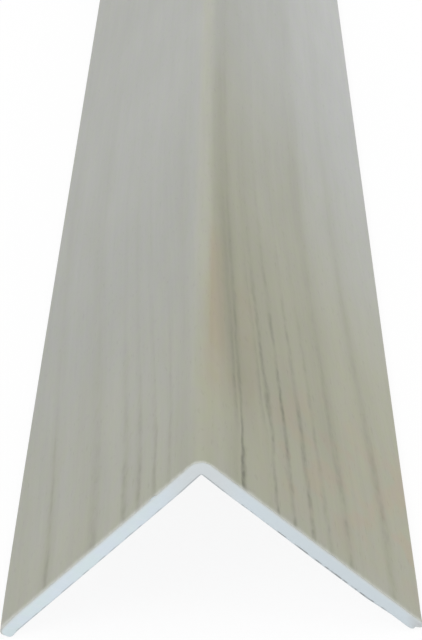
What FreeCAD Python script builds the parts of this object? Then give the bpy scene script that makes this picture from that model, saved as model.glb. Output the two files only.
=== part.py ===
"""Corner guard moulding: a right-angled rigid PVC strip with a wood-look film wrapped over its outer side.

The strip lies as it would on a floor: on the edges of its two legs, with its nose up. X runs across it,
Y along it and Z up. The origin is on the floor, under the nose, halfway along. All sizes are in millimetres.

The section is drawn once, from its sharp nose. A point of it is given by its reach along a leg's outer
face and by its depth under that face, so the film, the wall and their roundings follow the same values.
"""

import FreeCAD, Part
import math
import os

# Section
LEG = 30.0  # outside width of each leg, measured over the film from the sharp nose
CORNER_ANGLE = 90.0  # between the two legs, in degrees
WALL = 1.4  # PVC wall, without the film
FILM = 0.15  # decor film
NOSE_RADIUS = 1.4  # outside rounding of the nose, over the film
ROOT_RADIUS = 0.1  # rounding inside the corner, where the legs meet
EDGE_RADIUS = 0.5  # rounding of the PVC along both corners of each leg's edge
FILM_END = 0.85  # depth at which the wrapped film stops on the leg's edge

# Stock
LENGTH = 1000.0

HALF_ANGLE = math.radians(CORNER_ANGLE) / 2
RIGHT, LEFT = 1, -1
LARGEST_SHARE = 0.45  # most of a wall or an edge that one rounding may take


def section_point(side, reach, depth):
    """The point at this reach along a leg's outer face and this depth under it."""
    x = side * (reach * math.sin(HALF_ANGLE) - depth * math.cos(HALF_ANGLE))
    z = -reach * math.cos(HALF_ANGLE) - depth * math.sin(HALF_ANGLE)
    return FreeCAD.Vector(x, 0, z)


def crease(depth):
    """The point under the nose where the two legs' surfaces at this depth would meet."""
    return FreeCAD.Vector(0, 0, -depth / math.sin(HALF_ANGLE))


def rounded_outline(corners):
    """A closed wire through (point, radius) corners: straight sides joined by tangent arcs."""
    sides = []
    arcs = []
    for number, (corner, radius) in enumerate(corners):
        back = (corners[number - 1][0] - corner).normalize()
        ahead = (corners[(number + 1) % len(corners)][0] - corner).normalize()
        half_turn = back.getAngle(ahead) / 2
        setback = radius / math.tan(half_turn)
        start, end = corner + back * setback, corner + ahead * setback
        middle = corner + (back + ahead).normalize() * (radius / math.sin(half_turn) - radius)
        arcs.append((start, middle, end))
    for number, (start, middle, end) in enumerate(arcs):
        if start.distanceToPoint(end) > 0:
            sides.append(Part.Arc(start, middle, end).toShape())
        sides.append(Part.LineSegment(end, arcs[(number + 1) % len(arcs)][0]).toShape())
    return Part.Wire(sides)


def edge_rounding():
    """The rounding of the PVC along a leg's edge, which its wall may limit."""
    return min(EDGE_RADIUS, LARGEST_SHARE * WALL)


def nose_rounding(depth):
    """The rounding of the nose at this depth: every layer there has the same centre."""
    return max(NOSE_RADIUS - depth, 0)


def pvc_section():
    """The white PVC angle, one film's thickness inside the strip's outer faces."""
    edge, inside = LEG - FILM, FILM + WALL
    return [
        (crease(FILM), nose_rounding(FILM)),
        (section_point(RIGHT, edge, FILM), edge_rounding()),
        (section_point(RIGHT, edge, inside), edge_rounding()),
        (crease(inside), ROOT_RADIUS),
        (section_point(LEFT, edge, inside), edge_rounding()),
        (section_point(LEFT, edge, FILM), edge_rounding()),
    ]


def film_section():
    """The film: over the nose and both outer faces, round the outer corner of each leg's edge, and
    part of the way down that edge."""
    over, under = LEG, LEG - FILM
    return [
        (crease(0), nose_rounding(0)),
        (section_point(RIGHT, over, 0), edge_rounding() + FILM),
        (section_point(RIGHT, over, FILM_END), 0),
        (section_point(RIGHT, under, FILM_END), 0),
        (section_point(RIGHT, under, FILM), edge_rounding()),
        (crease(FILM), nose_rounding(FILM)),
        (section_point(LEFT, under, FILM), edge_rounding()),
        (section_point(LEFT, under, FILM_END), 0),
        (section_point(LEFT, over, FILM_END), 0),
        (section_point(LEFT, over, 0), edge_rounding() + FILM),
    ]


def floor_level():
    """Height of the floor below the sharp nose: the lowest point of the rounded edge of a leg."""
    radius = edge_rounding()
    centre = section_point(RIGHT, LEG - FILM - radius, FILM + WALL - radius)
    return centre.z - radius


def strip(corners):
    """The section, sawn square at both ends, lying on the floor."""
    solid = Part.Face(rounded_outline(corners)).extrude(FreeCAD.Vector(0, LENGTH, 0))
    solid.translate(FreeCAD.Vector(0, -LENGTH / 2, -floor_level()))
    return solid


PIECES = {
    "pvc_angle": pvc_section,
    "decor_film": film_section,
}

os.makedirs("parts", exist_ok=True)
for name, section in PIECES.items():
    strip(section()).exportStep(f"parts/{name}.step")
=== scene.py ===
import math

import bmesh
import bpy
import numpy as np
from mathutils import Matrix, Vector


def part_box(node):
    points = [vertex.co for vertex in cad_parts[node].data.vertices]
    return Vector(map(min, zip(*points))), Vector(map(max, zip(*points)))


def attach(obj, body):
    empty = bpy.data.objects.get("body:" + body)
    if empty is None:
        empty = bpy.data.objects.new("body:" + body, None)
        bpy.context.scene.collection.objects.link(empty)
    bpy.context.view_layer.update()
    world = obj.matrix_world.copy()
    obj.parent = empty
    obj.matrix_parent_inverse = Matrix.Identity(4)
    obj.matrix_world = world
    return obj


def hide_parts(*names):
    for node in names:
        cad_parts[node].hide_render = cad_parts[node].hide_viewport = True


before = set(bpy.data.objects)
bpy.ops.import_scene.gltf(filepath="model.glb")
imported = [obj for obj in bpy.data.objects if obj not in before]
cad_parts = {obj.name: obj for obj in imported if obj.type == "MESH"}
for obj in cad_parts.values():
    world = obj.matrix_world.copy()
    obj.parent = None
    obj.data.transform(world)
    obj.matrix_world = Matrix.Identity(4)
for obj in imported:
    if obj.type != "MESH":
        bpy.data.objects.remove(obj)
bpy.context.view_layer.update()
print("frame loaded:", ", ".join(sorted(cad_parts)))

mm = 0.001  # metres in a millimetre

# The section, in millimetres. A point of it has a reach along a leg's outer face, from the sharp nose,
# and a depth under that face.
section = {
    "cornerAngle": 90.0,
    "wall": 1.4,  # PVC, without the film
    "film": 0.15,
    "noseRadius": 1.4,  # over the film
    "rootRadius": 0.1,  # inside the corner
    "edgeRadius": 0.5,  # both corners of a leg's PVC edge
    "filmEnd": 0.85,  # depth at which the film stops on the leg's edge
    "filmTaper": 0.45,  # last stretch of the film, pressed thin
}
halfAngle = math.radians(section["cornerAngle"]) / 2
sinHalf, cosHalf = math.sin(halfAngle), math.cos(halfAngle)
inside = section["film"] + section["wall"]

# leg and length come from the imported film's box, the nose's height from the leg edges on the floor
filmLow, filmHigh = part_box("decor_film")
wrapRadius = section["edgeRadius"] + section["film"]
leg = (filmHigh.x / mm - wrapRadius + wrapRadius * cosHalf) / sinHalf + wrapRadius
pvcLeg = leg - section["film"]
noseHeight = (pvcLeg - section["edgeRadius"]) * cosHalf + (inside - section["edgeRadius"]) * sinHalf
noseHeight += section["edgeRadius"]
nearEnd, farEnd = filmLow.y / mm, filmHigh.y / mm
length = farEnd - nearEnd
print(f"section read: leg {leg:.2f} mm, nose {noseHeight:.2f} mm up, length {length:.0f} mm")


def sectionPoint(side, reach, depth):
    return [side * (reach * sinHalf - depth * cosHalf), noseHeight - reach * cosHalf - depth * sinHalf]


def crease(depth):
    return [0.0, noseHeight - depth / sinHalf]


def roundedChain(corners, radii, runSteps, arcSteps):
    # Walks the corners in order. A run is evenly spaced points between two arcs. An arc swings evenly about
    # corner + bisector * radius / sin(half the corner's angle), from one tangent point to the other.
    corners = np.array(corners, float)
    stretches, runStart = [], corners[0]
    for number in range(1, len(corners) - 1):
        back = corners[number - 1] - corners[number]
        ahead = corners[number + 1] - corners[number]
        back, ahead = back / np.linalg.norm(back), ahead / np.linalg.norm(ahead)
        half = math.acos(np.clip(back @ ahead, -1, 1)) / 2
        bisector = (back + ahead) / np.linalg.norm(back + ahead)
        centre = corners[number] + bisector * radii[number] / math.sin(half)
        arcStart = corners[number] + back * radii[number] / math.tan(half)
        angle = np.linspace(0, math.pi - 2 * half, arcSteps + 1)[:, None]
        spoke = arcStart - centre
        turned = np.array([-spoke[1], spoke[0]])
        if turned @ -back < 0:
            turned = -turned
        arc = centre + spoke * np.cos(angle) + turned * np.sin(angle)
        share = np.linspace(0, 1, runSteps[number - 1] + 1)[:-1, None]
        stretches += [runStart + (arcStart - runStart) * share, arc[:-1]]
        runStart = arc[-1]
    share = np.linspace(0, 1, runSteps[-1] + 1)[:, None]
    stretches.append(runStart + (corners[-1] - runStart) * share)
    return np.concatenate(stretches)


grid = {
    "legSteps": 150,
    "edgeSteps": 4,
    "arcSteps": 12,
    "rimSteps": 3,  # round a sawn rim
    "endSteps": [0.3, 0.6, 1, 1.8, 3, 6, 12, 25, 50],  # mm from both ends
    "middleRows": 16,
    "filmRows": 2,  # through the film
}


def layerChain(reach, depth, edgeDepth, edgeRadius, noseRadius):
    # From the left leg's edge over the nose to the right leg's edge, at one depth
    corners = [
        sectionPoint(-1, reach, edgeDepth),
        sectionPoint(-1, reach, depth),
        crease(depth),
        sectionPoint(1, reach, depth),
        sectionPoint(1, reach, edgeDepth),
    ]
    radii = [0, edgeRadius, noseRadius, edgeRadius, 0]
    steps = [grid["edgeSteps"], grid["legSteps"], grid["legSteps"], grid["edgeSteps"]]
    return roundedChain(corners, radii, steps, grid["arcSteps"])


def alongChain(chain):
    # Developed distance from the middle of the chain, which is the top of the nose
    step = np.hypot(*np.diff(chain, axis=0).T)
    total = np.concatenate([[0], np.cumsum(step)])
    return total - total[-1] / 2


def pvcLayers(inset):
    # Outer and inner chain of the PVC wall, which meet halfway down each leg's edge. The inset rounds the
    # sawn rim: fully on the inside, and hardly under the film.
    under = 0.2 * inset
    middle = section["film"] + section["wall"] / 2
    edge, nose = section["edgeRadius"], section["noseRadius"] - section["film"]
    outer = layerChain(pvcLeg - under, section["film"] + under, middle, edge - under, nose - under)
    root = section["rootRadius"] + inset
    inner = layerChain(pvcLeg - under, inside - inset, middle, edge - inset, root)
    return outer, inner


def filmLayers(inset):
    # Outer and inner chain of the film, the outer one drawn in by inset, and the two drawn together where
    # the film ends on a leg's edge
    end = section["filmEnd"]
    outer = layerChain(leg - inset, inset, end, wrapRadius - inset, section["noseRadius"] - inset)
    nose = section["noseRadius"] - section["film"]
    inner = layerChain(leg - section["film"], section["film"], end, section["edgeRadius"], nose)
    across = alongChain(inner)
    toEnd = across[-1] - np.abs(across)
    thick = np.clip(toEnd / section["filmTaper"], 0.12, 1)[:, None]
    return inner + (outer - inner) * thick ** 0.6, inner


def stations(ends):
    # Distance from the near end of each row: a quarter round at both sawn rims, then ever longer steps. The
    # second value is how far each row's outline is drawn in, round * (1 - sin(angle)).
    angle = np.linspace(0, math.pi / 2, grid["rimSteps"] + 1)
    steps = np.array([ends["firstStep"], *grid["endSteps"]])
    half = np.concatenate([ends["round"] * (1 - np.cos(angle)), steps])
    drawnIn = np.concatenate([ends["round"] * (1 - np.sin(angle)), 0 * steps])
    middle = np.linspace(steps[-1], length - steps[-1], grid["middleRows"] + 2)[1:-1]
    along = np.concatenate([half, middle, length - half[::-1]])
    return along, np.concatenate([drawnIn, 0 * middle, drawnIn[::-1]])


# What the saw and handling did to the near end, in mm
nearTip = {
    "skew": 0.011,  # the cut isn't dead square: this much further in for each mm away from the right tip
    "skewAlong": 8.0,
    "leftForward": 0.45,  # and the left tip's last 2 mm come forward again
    "lean": 0.15,  # both legs sprung to the right at their edges
    "leanAlong": 50.0,
    "pinch": 0.18,  # both legs' edges rubbed down towards the cut
    "pinchAlong": 7.0,
    "noseRub": 0.07,  # the nose rubbed down at the cut
    "rootLift": 0.08,  # and the crease under it scraped deeper
    "noseHalf": 1.7,  # how far both reach to each side
    "tipAlong": 2.4,  # the torn edge at both tips
    # for each side: lumps of the leg's edge (depth, half width, height), how far its tip is lifted, and how
    # far its inner face stands in, at places along its reach
    "tips": {
        -1: {"lumps": [], "lift": -0.1, "places": [0, leg], "inward": [0, 0]},
        1: {
            "lumps": [(0.55, 0.72, 0.29), (0.6, 0.44, 0.12), (1.08, 0.3, -0.16)],
            "lift": 0.13,
            "places": [8, 16, leg - 6.5, leg - 3.5],
            "inward": [0, -0.07, -0.06, 0.14],
        },
    },
}


def fade(away, span):
    # 1 at the cut, falling to 0 at the span
    return np.clip(1 - away / span, 0, 1) ** 2


def cutBack(x, away):
    # How far the skewed cut lies inside the strip's end: skew * (half the strip's width - x)
    forward = nearTip["leftForward"] * np.clip((-x - leg * sinHalf) / 2 + 1, 0, 1)
    return (nearTip["skew"] * (leg * sinHalf - x) - forward) * fade(away, nearTip["skewAlong"])


def shapeNearTip(points):
    # Skew: y + cutBack. Lean: x + lean * reach / leg, fading along the strip. Nose: z - noseRub outside, and
    # z + rootLift inside, less with the square of the distance from the middle. Both legs' edges go back
    # along their reach by pinch, and each lump pushes its edge out by height * (1 - squared distance in
    # depth) squared. A tip also rises by its lift, and the inner face moves towards the outer one by inward.
    x, z, away = points[..., 0], points[..., 2], points[..., 1] - nearEnd
    points[..., 1] += cutBack(x, away)
    reach = np.abs(x) * sinHalf + (noseHeight - z) * cosHalf
    depth = (noseHeight - z) * sinHalf - np.abs(x) * cosHalf
    atEdge = np.clip(reach - leg + 1, 0, 1)
    torn = fade(away, nearTip["tipAlong"])
    topFace = noseHeight - section["noseRadius"] * (1 / sinHalf - 1)
    inner = np.clip((topFace - z) / (topFace - noseHeight + inside / sinHalf), 0, 1)
    atNose = np.clip(1 - (x / nearTip["noseHalf"]) ** 2, 0, 1) * torn
    points[..., 2] += atNose * (nearTip["rootLift"] * inner - nearTip["noseRub"] * (1 - inner))
    points[..., 0] = x + nearTip["lean"] * reach / leg * fade(away, nearTip["leanAlong"])
    for side, tip in nearTip["tips"].items():
        onSide = side * x > 0
        push = -nearTip["pinch"] * fade(away, nearTip["pinchAlong"])
        for place, half, height in tip["lumps"]:
            push = push + height * np.clip(1 - ((depth - place) / half) ** 2, 0, 1) ** 2 * torn
        inward = np.interp(reach, tip["places"], tip["inward"]) * np.clip(depth / inside, 0, 1) * torn
        points[..., 0] += side * onSide * (push * atEdge * sinHalf + inward * cosHalf)
        points[..., 2] += onSide * ((tip["lift"] * torn - push * cosHalf) * atEdge + inward * sinHalf)
    points[..., 2] = np.maximum(points[..., 2], 0)
    return points


# A chop saw's blade came down from above, a little to the right, and left shallow marks
saw = {
    "centre": (38.0, 128.0),  # of the blade, in the section's plane
    "pitch": 1.3,
    "depth": 0.012,
    "fade": 0.6,  # mm along the strip over which the marks die out
}


def sawRelief(x, z):
    # A sine ridge for each step away from the blade's centre, its height swelling and sinking along the cut
    away = np.hypot(x - saw["centre"][0], z - saw["centre"][1])
    marks = 0.5 + 0.5 * np.sin(2 * math.pi * away / saw["pitch"] + 1.3 * np.sin(x * 0.9))
    swell = 0.6 + 0.4 * np.sin(x * 0.61 + z * 0.37 + 1.0)
    return saw["depth"] * marks * swell


def farRelief(x, z):
    # The far end was sawn from the other side
    return sawRelief(-x, z)


def placeRows(chains, along, nearDraw, farDraw, span):
    # One row of points per station, each end drawn back by its own shape over the given span
    chains = np.array(chains)
    points = np.zeros((*chains.shape[:2], 3))
    points[..., 0], points[..., 2] = chains[..., 0], chains[..., 1]
    hold = np.clip(1 - along / span, 0, 1)[:, None]
    farHold = np.clip(1 - (length - along) / span, 0, 1)[:, None]
    x, z = points[..., 0], points[..., 2]
    back = nearDraw(x, z) * hold - farDraw(x, z) * farHold
    points[..., 1] = nearEnd + along[:, None] + back
    return shapeNearTip(points)


def capRows(first, last, rows):
    # Straight lines from the first chain to the last
    share = np.linspace(0, 1, rows + 1)[:, None, None]
    return first + (last - first) * share


def gridPart(points, slot, across, along, bake):
    # across and along are the pattern's own coordinates, in mm. bake is the part's place in the unit square,
    # where both ends of a long strip get more room than its middle.
    low, high = np.array(bake[:2]), np.array(bake[2:])
    spanX = (across - across.min()) / np.ptp(across)
    spanY = (along - along.min()) / np.ptp(along)
    if np.ptp(along) > length / 2:
        spanY = spanY + 0.08 * np.sin(2 * math.pi * spanY)
    pattern = np.stack(np.broadcast_arrays(across[None, :], along[:, None]), -1)
    unit = np.stack(np.broadcast_arrays(spanX[None, :], spanY[:, None]), -1)
    return {"points": points, "slot": slot, "pattern": pattern, "bake": low + (high - low) * unit}


def weldedPiece(name, parts, materials, patternMap):
    # Joins the grids, welds the rows that they share and turns every face outwards
    corners, slots, count = [], [], 0
    for part in parts:
        rows, columns = part["points"].shape[:2]
        index = count + np.arange(rows * columns).reshape(rows, columns)
        quads = np.stack([index[:-1, :-1], index[:-1, 1:], index[1:, 1:], index[1:, :-1]], -1).reshape(-1, 4)
        corners.append(quads)
        slots.append(np.full(len(quads), part["slot"]))
        count += rows * columns
    corners = np.concatenate(corners)
    vertices = np.concatenate([part["points"].reshape(-1, 3) for part in parts]) * mm
    mesh = bpy.data.meshes.new(name)
    mesh.from_pydata(vertices.tolist(), [], corners.tolist())
    mesh.polygons.foreach_set("material_index", np.concatenate(slots).astype(np.int32))
    for mapName, key in ((patternMap, "pattern"), ("OFBake", "bake")):
        values = np.concatenate([part[key].reshape(-1, 2) for part in parts])[corners.ravel()]
        layer = mesh.uv_layers.new(name=mapName)
        layer.uv.foreach_set("vector", values.astype(np.float32).ravel())
    work = bmesh.new()
    work.from_mesh(mesh)
    bmesh.ops.remove_doubles(work, verts=work.verts, dist=2e-7)
    bmesh.ops.recalc_face_normals(work, faces=work.faces)
    openEdges = sum(not edge.is_manifold for edge in work.edges)
    work.to_mesh(mesh)
    work.free()
    for material in materials:
        mesh.materials.append(material)
    mesh.shade_smooth()
    mesh.set_sharp_from_angle(angle=math.radians(32))
    piece = bpy.data.objects.new(name, mesh)
    bpy.context.scene.collection.objects.link(piece)
    print(f"{name}: {len(mesh.polygons)} faces, {openEdges} open edges")
    return piece


def addNode(tree, kind, values=None, **settings):
    # values: input name or number -> a number, a colour or another node's output
    node = tree.nodes.new(kind)
    for key, value in settings.items():
        setattr(node, key, value)
    for key, value in (values or {}).items():
        if isinstance(value, bpy.types.NodeSocket):
            tree.links.new(value, node.inputs[key])
        else:
            node.inputs[key].default_value = value
    return node


def calc(tree, operation, first, second=0.0, third=0.0, clamp=False):
    values = {0: first, 1: second, 2: third}
    return addNode(tree, "ShaderNodeMath", values, operation=operation, use_clamp=clamp).outputs[0]


def times(tree, *factors):
    product = factors[0]
    for factor in factors[1:]:
        product = calc(tree, "MULTIPLY", product, factor)
    return product


def swing(tree, value, amount, middle=0.0):
    # A noise of 0 to 1 as a swing of +-amount/2 about the middle
    return calc(tree, "MULTIPLY_ADD", calc(tree, "SUBTRACT", value, 0.5), amount, middle)


def blendColour(tree, share, first, second, mode="MIX"):
    node = addNode(tree, "ShaderNodeMix", {0: share, 6: first, 7: second}, data_type="RGBA", blend_type=mode)
    return node.outputs[2]


def remap(tree, value, fromLow, fromHigh, toLow=0.0, toHigh=1.0, kind="SMOOTHSTEP"):
    values = {"Value": value, "From Min": fromLow, "From Max": fromHigh, "To Min": toLow, "To Max": toHigh}
    return addNode(tree, "ShaderNodeMapRange", values, interpolation_type=kind).outputs["Result"]


def hump(tree, value, middle, flat, reach):
    # 1 within flat of the middle, then falling to 0 at reach
    away = calc(tree, "ABSOLUTE", calc(tree, "SUBTRACT", value, middle))
    return remap(tree, away, flat, reach, 1.0, 0.0)


def blotches(tree, across, along, size, detail=2.0, seed=0.0):
    # Noise with blotches of about size[0] by size[1], in the coordinates' own unit
    x, y = calc(tree, "DIVIDE", across, size[0]), calc(tree, "DIVIDE", along, size[1])
    place = addNode(tree, "ShaderNodeCombineXYZ", {0: x, 1: y, 2: seed}).outputs[0]
    values = {"Vector": place, "Scale": 1.0, "Detail": detail}
    return addNode(tree, "ShaderNodeTexNoise", values).outputs["Fac"]


def curveOf(tree, value, points):
    # A smooth curve through (place, height) points, heights from 0 to 1
    low, high = points[0][0], points[-1][0]
    share = remap(tree, value, low, high, kind="LINEAR")
    node = addNode(tree, "ShaderNodeFloatCurve", {"Value": share})
    curve = node.mapping.curves[0]
    curve.points[0].location = (0, points[0][1])
    curve.points[1].location = (1, points[-1][1])
    for place, height in points[1:-1]:
        curve.points.new((place - low) / (high - low), height)
    node.mapping.update()
    return node.outputs[0]


def rampOf(tree, value, stops, between="LINEAR"):
    # Lines through (place, height) stops, straight or easing in and out
    low, high = stops[0][0], stops[-1][0]
    share = remap(tree, value, low, high, kind="LINEAR")
    node = addNode(tree, "ShaderNodeValToRGB", {"Fac": share})
    node.color_ramp.interpolation = between
    elements = node.color_ramp.elements
    elements.remove(elements[1])
    for number, (place, height) in enumerate(stops):
        position = (place - low) / (high - low)
        element = elements[0] if number == 0 else elements.new(position)
        element.position = position
        element.color = (height, height, height, 1)
    return node.outputs["Color"]


def placeInMm(tree, place=None):
    # The piece's own coordinates, in mm
    place = place or addNode(tree, "ShaderNodeTexCoord").outputs["Object"]
    scaled = addNode(tree, "ShaderNodeVectorMath", {0: place, "Scale": 1 / mm}, operation="SCALE").outputs[0]
    return addNode(tree, "ShaderNodeSeparateXYZ", {0: scaled}).outputs


def unrolled(tree, mapName):
    # Across and along the unrolled sheet, in mm
    uv = addNode(tree, "ShaderNodeUVMap", uv_map=mapName).outputs[0]
    parts = addNode(tree, "ShaderNodeSeparateXYZ", {0: uv}).outputs
    return parts[0], parts[1]


def newGroup(name, inputs, outputs):
    # inputs: name -> starting number, or None for a vector; outputs: names of numbers
    tree = bpy.data.node_groups.new(name, "ShaderNodeTree")
    for socketName, start in inputs.items():
        kind = "NodeSocketVector" if start is None else "NodeSocketFloat"
        socket = tree.interface.new_socket(socketName, in_out="INPUT", socket_type=kind)
        if start is not None:
            socket.default_value = start
    for socketName in outputs:
        tree.interface.new_socket(socketName, in_out="OUTPUT", socket_type="NodeSocketFloat")
    return tree, tree.nodes.new("NodeGroupInput").outputs, tree.nodes.new("NodeGroupOutput").inputs


def groupOutputs(tree, group, **values):
    # A value goes to the group's input of that name, with a capital
    inputs = {key.capitalize(): value for key, value in values.items()}
    return addNode(tree, "ShaderNodeGroup", inputs, node_tree=group).outputs


def sawnEdgeGroup():
    # A band beside a sawn end, strongest at the very edge: scuffed print on the film, painted shade on the
    # PVC. Skew is the near cut's.
    inputs = {"Place": None, "Width": 0.3, "Ragged": 0.5, "Skew": 0.0}
    tree, given, out = newGroup("sawnEdge", inputs, ["Mask"])
    x, y, z = placeInMm(tree, given["Place"])
    toEnd = calc(tree, "SUBTRACT", farEnd, calc(tree, "ABSOLUTE", y))
    toRight = calc(tree, "SUBTRACT", leg * sinHalf, x)
    skewed = times(tree, toRight, given["Skew"], calc(tree, "LESS_THAN", y, 0.0))
    uneven = swing(tree, blotches(tree, x, z, (0.7, 0.7), 3.0), given["Ragged"])
    toCut = calc(tree, "ADD", calc(tree, "SUBTRACT", toEnd, skewed), uneven)
    near = calc(tree, "SUBTRACT", 1.0, calc(tree, "DIVIDE", toCut, given["Width"]), clamp=True)
    tree.links.new(times(tree, near, near), out["Mask"])
    return tree


def dieLinesGroup():
    # Fine lines that the extrusion die draws along the strip, as a height from 0 to 1
    tree, given, out = newGroup("dieLines", {"Place": None, "Fine": 0.24, "Coarse": 1.4}, ["Height"])
    x, y, z = placeInMm(tree, given["Place"])
    across = calc(tree, "SUBTRACT", x, z)
    fine = blotches(tree, calc(tree, "DIVIDE", across, given["Fine"]), y, (1.0, 600.0), 1.0)
    coarse = blotches(tree, calc(tree, "DIVIDE", across, given["Coarse"]), y, (1.0, 900.0), 1.0, 4.0)
    height = calc(tree, "MULTIPLY_ADD", fine, 0.35, times(tree, coarse, 0.65))
    tree.links.new(height, out["Height"])
    return tree


def handlingGroup():
    # Uneven sheen from handling: soft rubbed patches, and sparse long scratches
    inputs = {"Place": None, "Patch": 22.0, "Scratch": 2.0}
    tree, given, out = newGroup("handling", inputs, ["Rubbed", "Scratched"])
    x, y = placeInMm(tree, given["Place"])[:2]
    along = calc(tree, "DIVIDE", y, given["Patch"])
    across = calc(tree, "DIVIDE", x, given["Patch"])
    rubbed = remap(tree, blotches(tree, across, along, (1.0, 2.5), 3.0), 0.35, 0.7)
    slant = calc(tree, "MULTIPLY_ADD", x, 0.6, y)
    narrow = calc(tree, "DIVIDE", x, given["Scratch"])
    scratched = remap(tree, blotches(tree, narrow, slant, (1.0, 45.0), 1.0, 9.0), 0.72, 0.78)
    tree.links.new(rubbed, out["Rubbed"])
    tree.links.new(scratched, out["Scratched"])
    return tree


sawnEdge, dieLines, handling = sawnEdgeGroup(), dieLinesGroup(), handlingGroup()


def startMaterial(name, **uniform):
    material = bpy.data.materials.new(name)
    material.use_nodes = True
    tree = material.node_tree
    tree.nodes.clear()
    shader = addNode(tree, "ShaderNodeBsdfPrincipled", uniform)
    output = tree.nodes.new("ShaderNodeOutputMaterial")
    tree.links.new(shader.outputs[0], output.inputs["Surface"])
    return material, tree, shader


def bumpInto(tree, shader, height, strength, distance):
    bump = addNode(tree, "ShaderNodeBump", {"Strength": strength, "Distance": distance, "Height": height})
    tree.links.new(bump.outputs[0], shader.inputs["Normal"])


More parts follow.
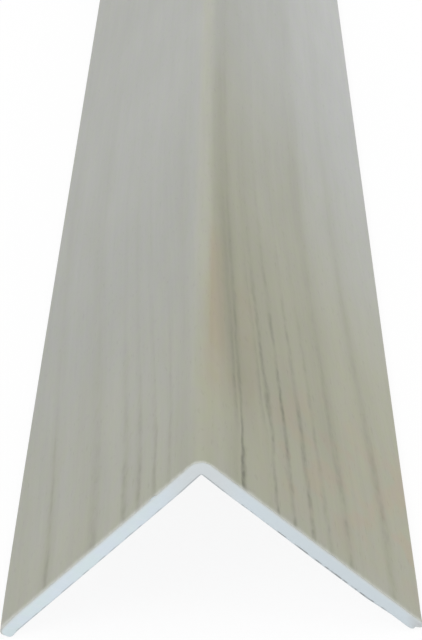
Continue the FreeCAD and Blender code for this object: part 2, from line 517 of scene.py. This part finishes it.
# Printed film. Places across are in mm of unrolled film from the top of the nose, + to the right. Places
# along are in mm from the near end, and the grain's own place across is the place less the drift.
# How strong the rings are past the part beside the near end, on both legs
farRings = [(170, 0.1), (240, 0.35), (320, 0.7), (420, 0.45), (520, 0.2), (640, 0.6), (760, 0.8), (850, 0.45),
            (930, 0.3), (1000, 0.5)]
film = {
    "sway": (2.6, 200.0, 20.0, 80.0),  # the grain's drift: half height, period, start and end
    "noseSway": 0.63,  # the share of it beside the nose
    "noseRight": (5.1, 9.4),  # where that share ends on each leg, and the whole drift begins
    "noseLeft": (-2.7, -4.8),
    "wander": (9.0, 260.0, 90.0),  # slow drift: swing, size along, and the place where it begins
    "wiggle": (0.5, (2.0, 7.0)),  # swing, size across and along
    "kinks": (0.3, (1.0, 1.7)),
    "noseBend": (0.3, 13.0),  # rings beside the nose turn left towards the cut: how far, from where
    "edgeBend": (18.0, 22.0, 0.0, 1.3),  # and so do those by the right edge: places, and shares of that bend
    "ringBend": (10.0, 0.4, 6.0, 13.0),  # and so does one ring more: place, how far, end and start
    "leftRings": [  # place, soft side, crisp side, strength
        (-26.7, 0.7, 0.5, 0.33),
        (-19.5, 1.2, 0.9, 0.24),
        (-15.0, 0.7, 0.6, 0.28),
        (-12.8, 0.7, 0.5, 0.29),
        (-10.5, 0.7, 0.4, 0.27),
        (-7.9, 0.7, 0.6, 0.22),
    ],
    "rightRings": [
        (2.55, 0.41, 0.35, 0.5),
        (5.42, 0.42, 0.38, 0.52),
        (7.35, 0.6, 0.42, 0.68),
        (9.82, 0.6, 0.5, 0.55),
        (12.05, 0.6, 0.5, 0.26),
        (14.95, 0.9, 0.7, 0.32),
        (21.2, 1.1, 0.8, 0.28),
    ],
    "lateFrom": (7.0, 18.0, 0.25, 1.0),  # along the strip, faint to full
    "lateRings": [  # these begin some way in from the cut
        (1.8, 0.55, 0.33, 0.36),
        (4.75, 0.4, 0.2, 0.25),
    ],
    "firstRing": (2.5, 0.02, 0.3),  # one dark line beside the nose, at the cut
    "firstFade": (1.0, 24.0, 0.98, 0.0),
    # broad soft tone: grain place, depth of tone
    "leftBands": [
        (-33.7, 0.2), (-30.7, 0.22), (-28.3, 0.12), (-26.7, 0.42), (-24.9, 0.02), (-22.2, 0.22),
        (-19.6, 0.44), (-17.9, 0.08), (-16.2, 0.06), (-15, 0.25), (-14, 0.12), (-12.8, 0.28), (-11.6, 0.05),
        (-10.5, 0.24), (-9.7, 0.08), (-8.1, 0.25), (-6.7, 0.2), (-4.5, 0.42), (-2.7, 0.12), (-0.9, 0.05),
        (0, 0),
    ],
    "rightBands": [
        (-0.6, 0), (0, 0.3), (0.7, 0.6), (1.5, 0.98), (2.6, 1), (3.1, 0.72), (3.8, 0.52), (5, 0.62),
        (6.9, 0.57), (8.2, 0.48), (10.2, 0.48), (11.1, 0.4), (13.1, 0.46), (14.4, 0.58), (15.5, 0.56),
        (16.6, 0.26), (17.7, 0.14), (19.7, 0.1), (21.2, 0.36), (22.5, 0.12), (24.7, 0.02), (33.7, 0),
    ],
    # strengths along the strip
    "leftRingFade": [(0, 1), (8, 0.9), (14, 0.65), (24, 0.42), (34, 0.26), (48, 0.12), (62, 0.05),
                     (110, 0.02), *farRings],
    "leftBandFade": [(0, 1), (8, 0.9), (14, 0.72), (24, 0.52), (34, 0.46), (60, 0.58), (80, 0.5), (110, 0.16),
                     (170, 0.1), (240, 0.4), (320, 0.85), (420, 0.5), (520, 0.22), (640, 0.7), (760, 0.95),
                     (850, 0.5), (930, 0.3), (1000, 0.6)],
    "rightRingFade": [(0, 1), (16, 1), (25, 0.88), (34, 0.6), (46, 0.3), (60, 0.14), (80, 0.06), (115, 0.02),
                      *farRings],
    "rightBandFade": [(0, 0.42), (8, 0.5), (16, 0.8), (26, 1), (50, 0.97), (62, 0.9), (80, 0.68), (102, 0.34),
                      (130, 0.2), (180, 0.15), (250, 0.5), (330, 0.9), (430, 0.6), (520, 0.3), (640, 0.8),
                      (760, 0.9), (870, 0.5), (1000, 0.7)],
    # paler, greyer ground along the strip: partly the print's own tone, partly a painted sheen beyond the
    # near end
    "washAndSheen": [(0, 0.12), (20, 0.02), (45, 0.22), (60, 0.5), (75, 0.65), (110, 0.92), (160, 1), (240, 0.75),
             (330, 0.2), (430, 0.5), (520, 0.8), (640, 0.35), (760, 0.1), (860, 0.45), (930, 0.7),
             (1000, 0.5)],
    "rightOlive": [(0, 0.72), (25, 0.95), (60, 0.72), (80, 0.5), (98, 0.2), (125, 0.05), (170, 0.05),
                   (260, 0.4), (330, 0.8), (430, 0.5), (520, 0.2), (640, 0.6), (760, 0.8), (860, 0.5),
                   (1000, 0.6)],
    "leftOlive": [(0, 0.5), (5, 0.46), (12, 0.36), (26, 0.28), (42, 0.08), (80, 0), (170, 0.05), (260, 0.3),
                  (400, 0.2), (560, 0.05), (700, 0.35), (850, 0.2), (1000, 0.3)],
    # and across, stronger towards the right edge: print tone and painted sheen both
    "washAndSheenAcross": [(-32, 0.08), (-22, 0.12), (-15, 0.24), (-5, 0.29), (-1.5, 0.24), (0.6, 0.15), (2.6, 0.14),
                   (5, 0.25), (9, 0.42), (14, 0.42), (17, 0.68), (22, 0.78), (26, 0.9), (32, 1)],
    # soft patches: place, flat half and reach, across and along, and strength
    "warmWide": ((3.6, 2.4, 4.6), (25.0, 7.0, 16.0), 0.55),
    "warmNarrow": ((1.7, 0.8, 1.6), (31.0, 8.0, 17.0), 0.85),
    "blushFrom": (6.0, 12.0),  # the blush grows across the right leg
    "blushAlong": (15.0, 4.0, 17.0),
    "blush": 0.7,
    # a painted highlight along the top of the nose: place, flat half and reach, then how it grows along the
    # strip
    "noseHighlight": (-0.6, 0.2, 1.7),
    "noseHighlightFade": (5.0, 60.0, 0.15, 0.75),
    # noise: size across and along, detail, seed
    "patchy": ((2.2, 9.0), 3.0, 1.0),  # olive
    "uneven": ((1.6, 4.0), 3.0, 23.0),  # warm patches
    "spots": ((3.4, 5.0), 3.0, 11.0),  # blush
    "broken": ((1.2, 5.0), 3.0, 2.0),  # rings
    "dotted": ((0.7, 1.2), 2.0, 27.0),
    "swell": ((7.0, 30.0), 2.0, 5.0),  # bands
    "fibre": ((0.45, 22.0), 3.0, 7.0),
    "cloud": ((2.2, 16.0), 3.0, 13.0),
    "fleck": ((0.33, 1.5), 1.0, 11.0),
    "mottle": ((1.3, 2.8), 2.0, 17.0),
    # the scuffed band at the cut: width, and how much narrower it is over the nose
    "scuff": 0.66,
    "noseScuff": (0.0, 1.2, 3.2),
    "noseNarrower": 0.28,
    "coolGround": (0.300, 0.306, 0.281, 1),
    "oliveGround": (0.315, 0.313, 0.229, 1),
    "washedAndSheenGround": (0.392, 0.400, 0.386, 1),
    "ringTone": (0.11, 0.112, 0.078, 1),
    "bandTone": (0.205, 0.205, 0.142, 1),
    "warmTone": (0.305, 0.262, 0.178, 1),
    "blushTone": (0.345, 0.296, 0.218, 1),
    "noseHighlightTone": (0.345, 0.347, 0.287, 1),
    "wornTone": (0.54, 0.56, 0.53, 1),
    "lavenderTint": (0.997, 0.987, 1.018, 1),
    "greenTint": (0.990, 1.007, 0.974, 1),
}


def grainPlace(tree, across, along):
    # Place across less the drift: half a cosine along the strip, less beside the nose, then a slow wander,
    # and small wiggles
    height, period, start, end = film["sway"]
    turns = times(tree, calc(tree, "ADD", calc(tree, "MINIMUM", along, end), start), 2 * math.pi / period)
    sway = calc(tree, "MULTIPLY_ADD", calc(tree, "COSINE", turns), height, height)
    toRight = remap(tree, across, *film["noseRight"], film["noseSway"], 1.0, "LINEAR")
    toLeft = remap(tree, across, *film["noseLeft"], film["noseSway"], 1.0, "LINEAR")
    drift = times(tree, sway, calc(tree, "MAXIMUM", toRight, toLeft))
    amount, size, begin = film["wander"]
    slow = blotches(tree, across, along, (60.0, size), 1.0, 6.0)
    begun = remap(tree, along, begin, begin + size / 2)
    drift = calc(tree, "ADD", drift, times(tree, swing(tree, slow, amount), begun))
    for key, seed in (("wiggle", 0.0), ("kinks", 21.0)):
        amount, size = film[key]
        drift = calc(tree, "ADD", drift, swing(tree, blotches(tree, across, along, size, seed=seed), amount))
    amount, begin = film["noseBend"]
    besideNose = remap(tree, across, *film["noseRight"], 1.0, 0.25)
    share = calc(tree, "MAXIMUM", besideNose, remap(tree, across, *film["edgeBend"]))
    bend = times(tree, remap(tree, along, 0.0, begin, -amount, 0.0), share)
    drift = calc(tree, "ADD", drift, bend)
    place, amount, end, start = film["ringBend"]
    bend = times(tree, hump(tree, across, place, 0.5, 1.6), remap(tree, along, end, start, -amount, 0.0))
    drift = calc(tree, "ADD", drift, bend)
    return calc(tree, "SUBTRACT", across, drift)


def ringLines(tree, grain, rings):
    # A ring darkens slowly from its soft side and stops sooner on its crisp side
    stops = []
    for at, soft, crisp, strength in rings:
        stops += [(at - soft, 0), (at, strength), (at + crisp, 0)]
    return rampOf(tree, grain, stops, "EASE")


def softPatch(tree, across, along, patch):
    overAcross, overAlong, strength = patch
    return times(tree, hump(tree, across, *overAcross), hump(tree, along, *overAlong), strength)


def groundColour(tree, across, along):
    right = remap(tree, across, -2.0, 1.1)
    rightOlive = times(tree, curveOf(tree, along, film["rightOlive"]), right)
    leftOlive = times(tree, curveOf(tree, along, film["leftOlive"]), calc(tree, "SUBTRACT", 1.0, right))
    olive = calc(tree, "ADD", rightOlive, leftOlive)
    patchy = blotches(tree, across, along, *film["patchy"])
    olive = calc(tree, "ADD", olive, swing(tree, patchy, 0.5), clamp=True)
    ground = blendColour(tree, olive, film["coolGround"], film["oliveGround"])
    # paler, greyer ground: partly print tone, partly painted sheen
    washAndSheen = times(tree, curveOf(tree, along, film["washAndSheen"]), curveOf(tree, across, film["washAndSheenAcross"]))
    ground = blendColour(tree, washAndSheen, ground, film["washedAndSheenGround"])
    # warm patches beside the nose, and warm blotches on the right leg
    uneven = remap(tree, blotches(tree, across, along, *film["uneven"]), 0.35, 0.65, 0.65, 1.2)
    wide = times(tree, softPatch(tree, across, along, film["warmWide"]), uneven)
    narrow = softPatch(tree, across, along, film["warmNarrow"])
    ground = blendColour(tree, calc(tree, "MAXIMUM", wide, narrow), ground, film["warmTone"])
    spots = remap(tree, blotches(tree, across, along, *film["spots"]), 0.45, 0.6)
    onLeg = remap(tree, across, *film["blushFrom"])
    spots = times(tree, spots, onLeg, hump(tree, along, *film["blushAlong"]), film["blush"])
    return blendColour(tree, spots, ground, film["blushTone"])


def printedRings(tree, grain, across, along):
    leftFade, rightFade = (curveOf(tree, along, film[key]) for key in ("leftRingFade", "rightRingFade"))
    leftRings = times(tree, ringLines(tree, grain, film["leftRings"]), leftFade)
    rightRings = times(tree, ringLines(tree, grain, film["rightRings"]), rightFade)
    begun = remap(tree, along, *film["lateFrom"])
    lateRings = times(tree, ringLines(tree, grain, film["lateRings"]), rightFade, begun)
    rings = calc(tree, "MAXIMUM", calc(tree, "MAXIMUM", leftRings, rightRings), lateRings)
    broken = remap(tree, blotches(tree, across, along, *film["broken"]), 0.38, 0.62, 0.45, 1.25)
    first = times(tree, hump(tree, grain, *film["firstRing"]), remap(tree, along, *film["firstFade"]))
    rings = calc(tree, "MAXIMUM", times(tree, rings, broken), first)
    dotted = remap(tree, blotches(tree, across, along, *film["dotted"]), 0.35, 0.65, 0.75, 1.12)
    return times(tree, rings, dotted)


def printedBands(tree, grain, across, along):
    leftFade, rightFade = (curveOf(tree, along, film[key]) for key in ("leftBandFade", "rightBandFade"))
    leftBands = times(tree, rampOf(tree, grain, film["leftBands"]), leftFade)
    rightBands = times(tree, rampOf(tree, grain, film["rightBands"]), rightFade)
    swell = remap(tree, blotches(tree, across, along, *film["swell"]), 0.3, 0.7, 0.8, 1.1)
    return times(tree, calc(tree, "MAXIMUM", leftBands, rightBands), swell)


def filmPrint():
    material, tree, shader = startMaterial("washedPineFilm", **{"Specular IOR Level": 0.5})
    across, along = unrolled(tree, "filmUnrolled")
    place = addNode(tree, "ShaderNodeTexCoord").outputs["Object"]
    grain = grainPlace(tree, across, along)
    rings = printedRings(tree, grain, across, along)
    bands = printedBands(tree, grain, across, along)

    # fibres: long thin streaks, lighter and darker, and short dark flecks between them
    fibre = blotches(tree, grain, along, *film["fibre"])
    cloud = blotches(tree, grain, along, *film["cloud"])
    fleck = remap(tree, blotches(tree, grain, along, *film["fleck"]), 0.6, 0.76)
    mottle = blotches(tree, across, along, *film["mottle"])

    colour = groundColour(tree, across, along)
    colour = blendColour(tree, times(tree, bands, 0.8), colour, film["bandTone"])
    # painted highlight along the top of the nose, paler and yellower, growing along the strip
    noseHighlight = times(tree, hump(tree, across, *film["noseHighlight"]), remap(tree, along, *film["noseHighlightFade"]))
    colour = blendColour(tree, noseHighlight, colour, film["noseHighlightTone"])
    colour = blendColour(tree, times(tree, rings, 0.8), colour, film["ringTone"])
    tint = blendColour(tree, remap(tree, mottle, 0.38, 0.62), film["lavenderTint"], film["greenTint"])
    colour = blendColour(tree, 1.0, colour, tint, "MULTIPLY")
    tone = swing(tree, cloud, 0.13, swing(tree, fibre, 0.10, 1.0))
    tone = calc(tree, "MULTIPLY_ADD", fleck, -0.07, tone)
    grey = addNode(tree, "ShaderNodeCombineColor", {0: tone, 1: tone, 2: tone}).outputs[0]
    colour = blendColour(tree, 1.0, colour, grey, "MULTIPLY")
    overNose = hump(tree, across, *film["noseScuff"])
    scuff = calc(tree, "MULTIPLY_ADD", overNose, -film["noseNarrower"], film["scuff"])
    worn = groupOutputs(tree, sawnEdge, place=place, width=scuff, ragged=0.5, skew=nearTip["skew"])["Mask"]
    colour = blendColour(tree, times(tree, worn, 0.62), colour, film["wornTone"])
    tree.links.new(colour, shader.inputs["Base Color"])

    rub = groupOutputs(tree, handling, place=place, patch=22.0, scratch=2.0)
    rough = calc(tree, "MULTIPLY_ADD", rub["Rubbed"], 0.06, 0.42)
    rough = calc(tree, "MULTIPLY_ADD", rings, 0.08, rough)
    tree.links.new(calc(tree, "MULTIPLY_ADD", worn, 0.15, rough), shader.inputs["Roughness"])

    height = calc(tree, "MULTIPLY_ADD", rings, -0.7, times(tree, fibre, 0.5))
    height = calc(tree, "MULTIPLY_ADD", fleck, -0.35, height)
    lines = groupOutputs(tree, dieLines, place=place, fine=0.5, coarse=2.6)["Height"]
    height = calc(tree, "MULTIPLY_ADD", lines, 0.3, height)
    height = calc(tree, "MULTIPLY_ADD", rub["Scratched"], -0.15, height)
    bumpInto(tree, shader, height, 0.35, 0.04 * mm)
    return material


def filmBody():
    # The film's own body, seen only where it was sawn or trimmed
    material, tree, shader = startMaterial("filmCut", Roughness=0.5)
    x, _, z = placeInMm(tree)
    speckle = blotches(tree, x, z, (0.4, 0.4))
    colour = blendColour(tree, speckle, (0.50, 0.525, 0.495, 1), (0.58, 0.605, 0.59, 1))
    tree.links.new(colour, shader.inputs["Base Color"])
    return material


# White PVC
pvc = {
    "ground": (0.64, 0.71, 0.77, 1),
    "shade": (0.60, 0.68, 0.72, 1),
    "dust": (0.55, 0.56, 0.55, 1),
    "sawn": (0.635, 0.71, 0.775, 1),
    "sawnGreen": (0.63, 0.725, 0.75, 1),
    "sawnPale": (0.70, 0.745, 0.79, 1),
    "sawnShadedRight": (0.575, 0.64, 0.68, 1),  # painted shade, darker towards the right
    "sawnNose": (0.60, 0.64, 0.66, 1),  # and greyer around the nose
    "rim": (0.61, 0.645, 0.64, 1),  # film smeared by the saw
    "arrisShade": (0.25, 0.265, 0.27, 1),  # painted shade along the inner edge
    "tipShade": (0.47, 0.475, 0.47, 1),  # painted shade, greyer at the right tip
    # on a sawn end, in mm: x runs across the strip, and depth from the outer face to the inner one
    "marks": (0.19, 11.0),  # tooth marks, away from the blade's centre and along them
    "clouds": (2.6, 2.6),
    "shadeRightFrom": (-16.0, 14.0),
    "atNose": (0.2, 1.0, 4.5),  # place, flat half and reach
    "atTip": (19.2, 20.9),
    "rimDepth": 0.3,
    "shadeDepth": 0.09,
    "shadeMore": 0.05,  # how much wider the painted shade lies on the right and beside the crease
    "dashes": ((1.1, 4.0), 2.0, 8.0),  # size, detail, seed
    "dashesGrow": (-6.0, 12.0, 0.6, 1.15),
    "dashesEnd": (16.5, 18.0, 1.0, 0.1),
    "besideCrease": (2.3, 1.0, 2.4),
}


def pvcWall():
    material, tree, shader = startMaterial("whitePvc")
    place = addNode(tree, "ShaderNodeTexCoord").outputs["Object"]
    lines = groupOutputs(tree, dieLines, place=place, fine=0.24, coarse=1.4)["Height"]
    rub = groupOutputs(tree, handling, place=place, patch=32.0, scratch=2.4)
    worn = groupOutputs(tree, sawnEdge, place=place, width=0.4, ragged=0.5, skew=nearTip["skew"])["Mask"]
    colour = blendColour(tree, times(tree, rub["Rubbed"], 0.6), pvc["ground"], pvc["shade"])
    colour = blendColour(tree, times(tree, rub["Scratched"], 0.3), colour, pvc["dust"])
    # the PVC's sawn rims darker: painted shade, in the inner edge's colour
    colour = blendColour(tree, times(tree, worn, 0.4), colour, pvc["arrisShade"])
    tree.links.new(colour, shader.inputs["Base Color"])
    rough = calc(tree, "MULTIPLY_ADD", rub["Rubbed"], 0.1, 0.32)
    tree.links.new(calc(tree, "MULTIPLY_ADD", lines, 0.08, rough), shader.inputs["Roughness"])
    bumpInto(tree, shader, calc(tree, "MULTIPLY_ADD", rub["Scratched"], -0.3, lines), 0.3, 0.04 * mm)
    return material


def pvcSawn():
    material, tree, shader = startMaterial("sawnPvc", Roughness=0.62)
    across, depth = unrolled(tree, "pvcUnrolled")
    x, y, z = placeInMm(tree)
    # fine tooth marks: rings about the blade's centre
    fromX = calc(tree, "SUBTRACT", x, saw["centre"][0])
    fromZ = calc(tree, "SUBTRACT", z, saw["centre"][1])
    away = calc(tree, "SQRT", calc(tree, "MULTIPLY_ADD", fromX, fromX, times(tree, fromZ, fromZ)))
    marks = blotches(tree, away, x, pvc["marks"])
    cloud = remap(tree, blotches(tree, x, z, pvc["clouds"]), 0.38, 0.62)
    colour = blendColour(tree, cloud, pvc["sawn"], pvc["sawnGreen"])
    colour = blendColour(tree, remap(tree, marks, 0.5, 0.75, 0.0, 0.4), colour, pvc["sawnPale"])
    # painted shade: the sawn face darker towards the right
    colour = blendColour(tree, remap(tree, x, *pvc["shadeRightFrom"]), colour, pvc["sawnShadedRight"])
    colour = blendColour(tree, hump(tree, x, *pvc["atNose"]), colour, pvc["sawnNose"])
    # painted shade: the near cut greyer at its right tip
    onNear = calc(tree, "LESS_THAN", y, 0.0)
    tip = times(tree, remap(tree, x, *pvc["atTip"]), onNear, 0.75)
    colour = blendColour(tree, tip, colour, pvc["tipShade"])
    rim = times(tree, remap(tree, depth, 0.0, pvc["rimDepth"], 1.0, 0.0), 0.65)
    colour = blendColour(tree, rim, colour, pvc["rim"])
    # painted shade along the inner edge, in dashes, and evenly beside the crease
    dashes = remap(tree, blotches(tree, across, depth, *pvc["dashes"]), 0.4, 0.6, 0.1)
    dashes = times(tree, dashes, remap(tree, x, *pvc["dashesGrow"]), remap(tree, x, *pvc["dashesEnd"]))
    beside = times(tree, hump(tree, calc(tree, "ABSOLUTE", across), *pvc["besideCrease"]), 0.6)
    dashes = calc(tree, "MAXIMUM", dashes, beside)
    more = pvc["shadeMore"]
    wider = times(tree, remap(tree, x, 5.0, 12.0, 0.0, -more), remap(tree, x, 17.0, 18.5, 1.0, 0.0))
    begin = calc(tree, "ADD", wider, section["wall"] - pvc["shadeDepth"])
    begin = calc(tree, "MULTIPLY_ADD", beside, -more, begin)
    # dust here is the mask of that painted shade
    dust = calc(tree, "MINIMUM", times(tree, calc(tree, "GREATER_THAN", depth, begin), dashes, 0.8), 1.0)
    colour = blendColour(tree, dust, colour, pvc["arrisShade"])
    tree.links.new(colour, shader.inputs["Base Color"])
    bumpInto(tree, shader, marks, 0.25, 0.03 * mm)
    return material


# PVC angle: wall grids over the two chains, and a sawn cap between them at each end
pvcEnds = {"round": 0.05, "firstStep": 0.12}  # of the sawn rims, in mm
pvcBake = {
    "outer": (0.01, 0.62, 0.99, 0.78),
    "inner": (0.01, 0.01, 0.99, 0.60),
    "caps": [(0.01, 0.80, 0.99, 0.88), (0.01, 0.90, 0.99, 0.98)],
}


def buildPvcAngle():
    along, inset = stations(pvcEnds)
    outerChains, innerChains = zip(*[pvcLayers(value) for value in inset])
    outer = placeRows(outerChains, along, sawRelief, farRelief, saw["fade"])
    inner = placeRows(innerChains, along, sawRelief, farRelief, saw["fade"])
    across = alongChain(outerChains[len(along) // 2])
    parts = [
        gridPart(outer, 0, across, along, pvcBake["outer"]),
        gridPart(inner, 0, across, along, pvcBake["inner"]),
    ]
    # Along a leg's flat edge both chains run on one line, so a cap begins where they part, and its rows there
    # are that line's own steps
    flat = grid["edgeSteps"]
    depth = np.linspace(0, section["wall"], 2 * flat + 1)
    for end, row, bake in zip((0.0, length), (0, -1), pvcBake["caps"]):
        chains = capRows(outerChains[row][flat:-flat], innerChains[row][flat:-flat], 2 * flat)
        cap = placeRows(chains, np.full(len(chains), end), sawRelief, farRelief, saw["fade"])
        parts.append(gridPart(cap, 1, across[flat:-flat], depth, bake))
    return weldedPiece("pvcAngle", parts, [pvcWall(), pvcSawn()], "pvcUnrolled")


# Film: sawn with the PVC, so its ends are a little ragged and chipped
filmEnds = {"round": 0.07, "firstStep": 0.15}
filmEdge = {
    "nearChips": [(-6.5, 1.0, 0.26), (17.2, 0.6, 0.10), (-21.5, 0.5, 0.08)],  # place across, width, depth
    "farChips": [(12.4, 1.3, 0.3), (-3.1, 0.7, 0.15)],
    "ragged": 0.05,
    "fade": 2.2,  # mm along the strip over which the edge's shape dies out
}
filmBake = {
    "outer": (0.01, 0.10, 0.99, 0.99),
    "inner": (0.01, 0.05, 0.99, 0.09),
    "caps": [(0.01, 0.005, 0.99, 0.015), (0.01, 0.018, 0.99, 0.028)],
    "trims": [(0.01, 0.031, 0.99, 0.037), (0.01, 0.04, 0.99, 0.046)],
}


def raggedEdge(across, chips, shift):
    # Each chip is a smooth hollow, depth * (1 - squared distance), and the rest is three small waves
    wave = np.sin(across * 2.3 + 0.4) * np.sin(across * 0.83 + shift) + 0.5 * np.sin(across * 7.1 + shift)
    edge = filmEdge["ragged"] * (1 + np.clip(wave, -1, 1)) / 2
    for place, width, depth in chips:
        edge = edge + depth * np.clip(1 - ((across - place) / (width / 2)) ** 2, 0, 1)
    return edge


def buildFilm():
    along, inset = stations(filmEnds)
    outerChains, innerChains = zip(*[filmLayers(value) for value in inset])
    across = alongChain(outerChains[len(along) // 2])
    near = lambda x, z: raggedEdge(across, filmEdge["nearChips"], 1)
    far = lambda x, z: raggedEdge(across, filmEdge["farChips"], 3)
    outer = placeRows(outerChains, along, near, far, filmEdge["fade"])
    inner = placeRows(innerChains, along, near, far, filmEdge["fade"])
    parts = [
        gridPart(outer, 0, across, along, filmBake["outer"]),
        gridPart(inner, 1, across, along, filmBake["inner"]),
    ]
    thick = np.linspace(0, section["film"], grid["filmRows"] + 1)
    for end, capBake, trimBake in zip((0, -1), filmBake["caps"], filmBake["trims"]):
        cap = capRows(outer[end], inner[end], grid["filmRows"])
        parts.append(gridPart(cap, 1, across, thick, capBake))
        trim = capRows(outer[:, end], inner[:, end], grid["filmRows"])
        parts.append(gridPart(trim, 1, along, thick, trimBake))
    return weldedPiece("decorFilm", parts, [filmPrint(), filmBody()], "filmUnrolled")


angle = buildPvcAngle()
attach(angle, "root")
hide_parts("pvc_angle")

skin = buildFilm()
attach(skin, "root")
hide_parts("decor_film")
print("pieces placed")

# Floor and surroundings: white to the camera, and a plain light on the object
studio = {
    "floorRadius": 40.0,
    "floorSides": 96,
    "floorColour": (0.86, 0.86, 0.86, 1),
    "floorWhite": 0.92,  # share of plain white that the camera sees in the floor
    "worldLight": 0.62,
}


def seenDirectly(tree):
    path = addNode(tree, "ShaderNodeLightPath").outputs
    seen = calc(tree, "MAXIMUM", path["Is Camera Ray"], path["Is Glossy Ray"])
    return calc(tree, "MAXIMUM", seen, path["Is Transmission Ray"])


def buildFloor():
    turn = np.linspace(0, 2 * math.pi, studio["floorSides"], endpoint=False)
    rim = np.stack([np.cos(turn), np.sin(turn), np.zeros_like(turn)], 1) * studio["floorRadius"]
    mesh = bpy.data.meshes.new("floor")
    mesh.from_pydata(rim.tolist(), [], [list(range(len(rim)))])
    material = bpy.data.materials.new("paleFloor")
    material.use_nodes = True
    tree = material.node_tree
    tree.nodes.clear()
    matt = addNode(tree, "ShaderNodeBsdfDiffuse", {"Color": studio["floorColour"]})
    white = addNode(tree, "ShaderNodeEmission", {"Color": (1, 1, 1, 1), "Strength": 1.0})
    share = times(tree, seenDirectly(tree), studio["floorWhite"])
    mixed = addNode(tree, "ShaderNodeMixShader", {0: share, 1: matt.outputs[0], 2: white.outputs[0]})
    output = tree.nodes.new("ShaderNodeOutputMaterial")
    tree.links.new(mixed.outputs[0], output.inputs["Surface"])
    mesh.materials.append(material)
    floor = bpy.data.objects.new("floor", mesh)
    bpy.context.scene.collection.objects.link(floor)


def buildWorld():
    world = bpy.data.worlds.new("studio")
    world.use_nodes = True
    tree = world.node_tree
    tree.nodes.clear()
    strength = remap(tree, seenDirectly(tree), 0.0, 1.0, studio["worldLight"], 1.0, kind="LINEAR")
    background = addNode(tree, "ShaderNodeBackground", {"Color": (1, 1, 1, 1), "Strength": strength})
    output = tree.nodes.new("ShaderNodeOutputWorld")
    tree.links.new(background.outputs[0], output.inputs["Surface"])
    bpy.context.scene.world = world


lamps = {
    "softboxLeft": {"place": (-1.3, -1.2, 1.7), "aim": (0, -0.2, 0), "size": 1.6, "power": 26.0},
    "softboxRight": {"place": (1.5, -0.6, 1.5), "aim": (0, 0, 0), "size": 1.6, "power": 18.0},
}


def buildLamps():
    for name, lamp in lamps.items():
        light = bpy.data.lights.new(name, "AREA")
        light.shape, light.size, light.energy = "SQUARE", lamp["size"], lamp["power"]
        down = np.array(lamp["place"]) - np.array(lamp["aim"])
        tilt = math.atan2(math.hypot(down[0], down[1]), down[2])
        holder = bpy.data.objects.new(name, light)
        holder.location = lamp["place"]
        holder.rotation_euler = (tilt, 0, math.atan2(down[1], down[0]) + math.pi / 2)
        bpy.context.scene.collection.objects.link(holder)


# Camera: close over the near end, looking along the strip and down at it
view = {
    "place": (0.00561, -0.62665, 0.11912),
    "turn": (57.0747, 2.0563, 0.514),  # degrees about X, Y and Z
    "lens": 97.2,
}


def buildCamera():
    camera = bpy.data.cameras.new("camera")
    camera.lens, camera.sensor_width, camera.sensor_fit = view["lens"], 36.0, "AUTO"
    camera.clip_start, camera.clip_end = 0.01, 200.0
    holder = bpy.data.objects.new("camera", camera)
    holder.location = view["place"]
    holder.rotation_euler = [math.radians(turn) for turn in view["turn"]]
    bpy.context.scene.collection.objects.link(holder)
    bpy.context.scene.camera = holder


buildFloor()
buildWorld()
buildLamps()
buildCamera()
bpy.context.scene.view_settings.view_transform = "Standard"
print("studio ready")

bpy.context.view_layer.update()
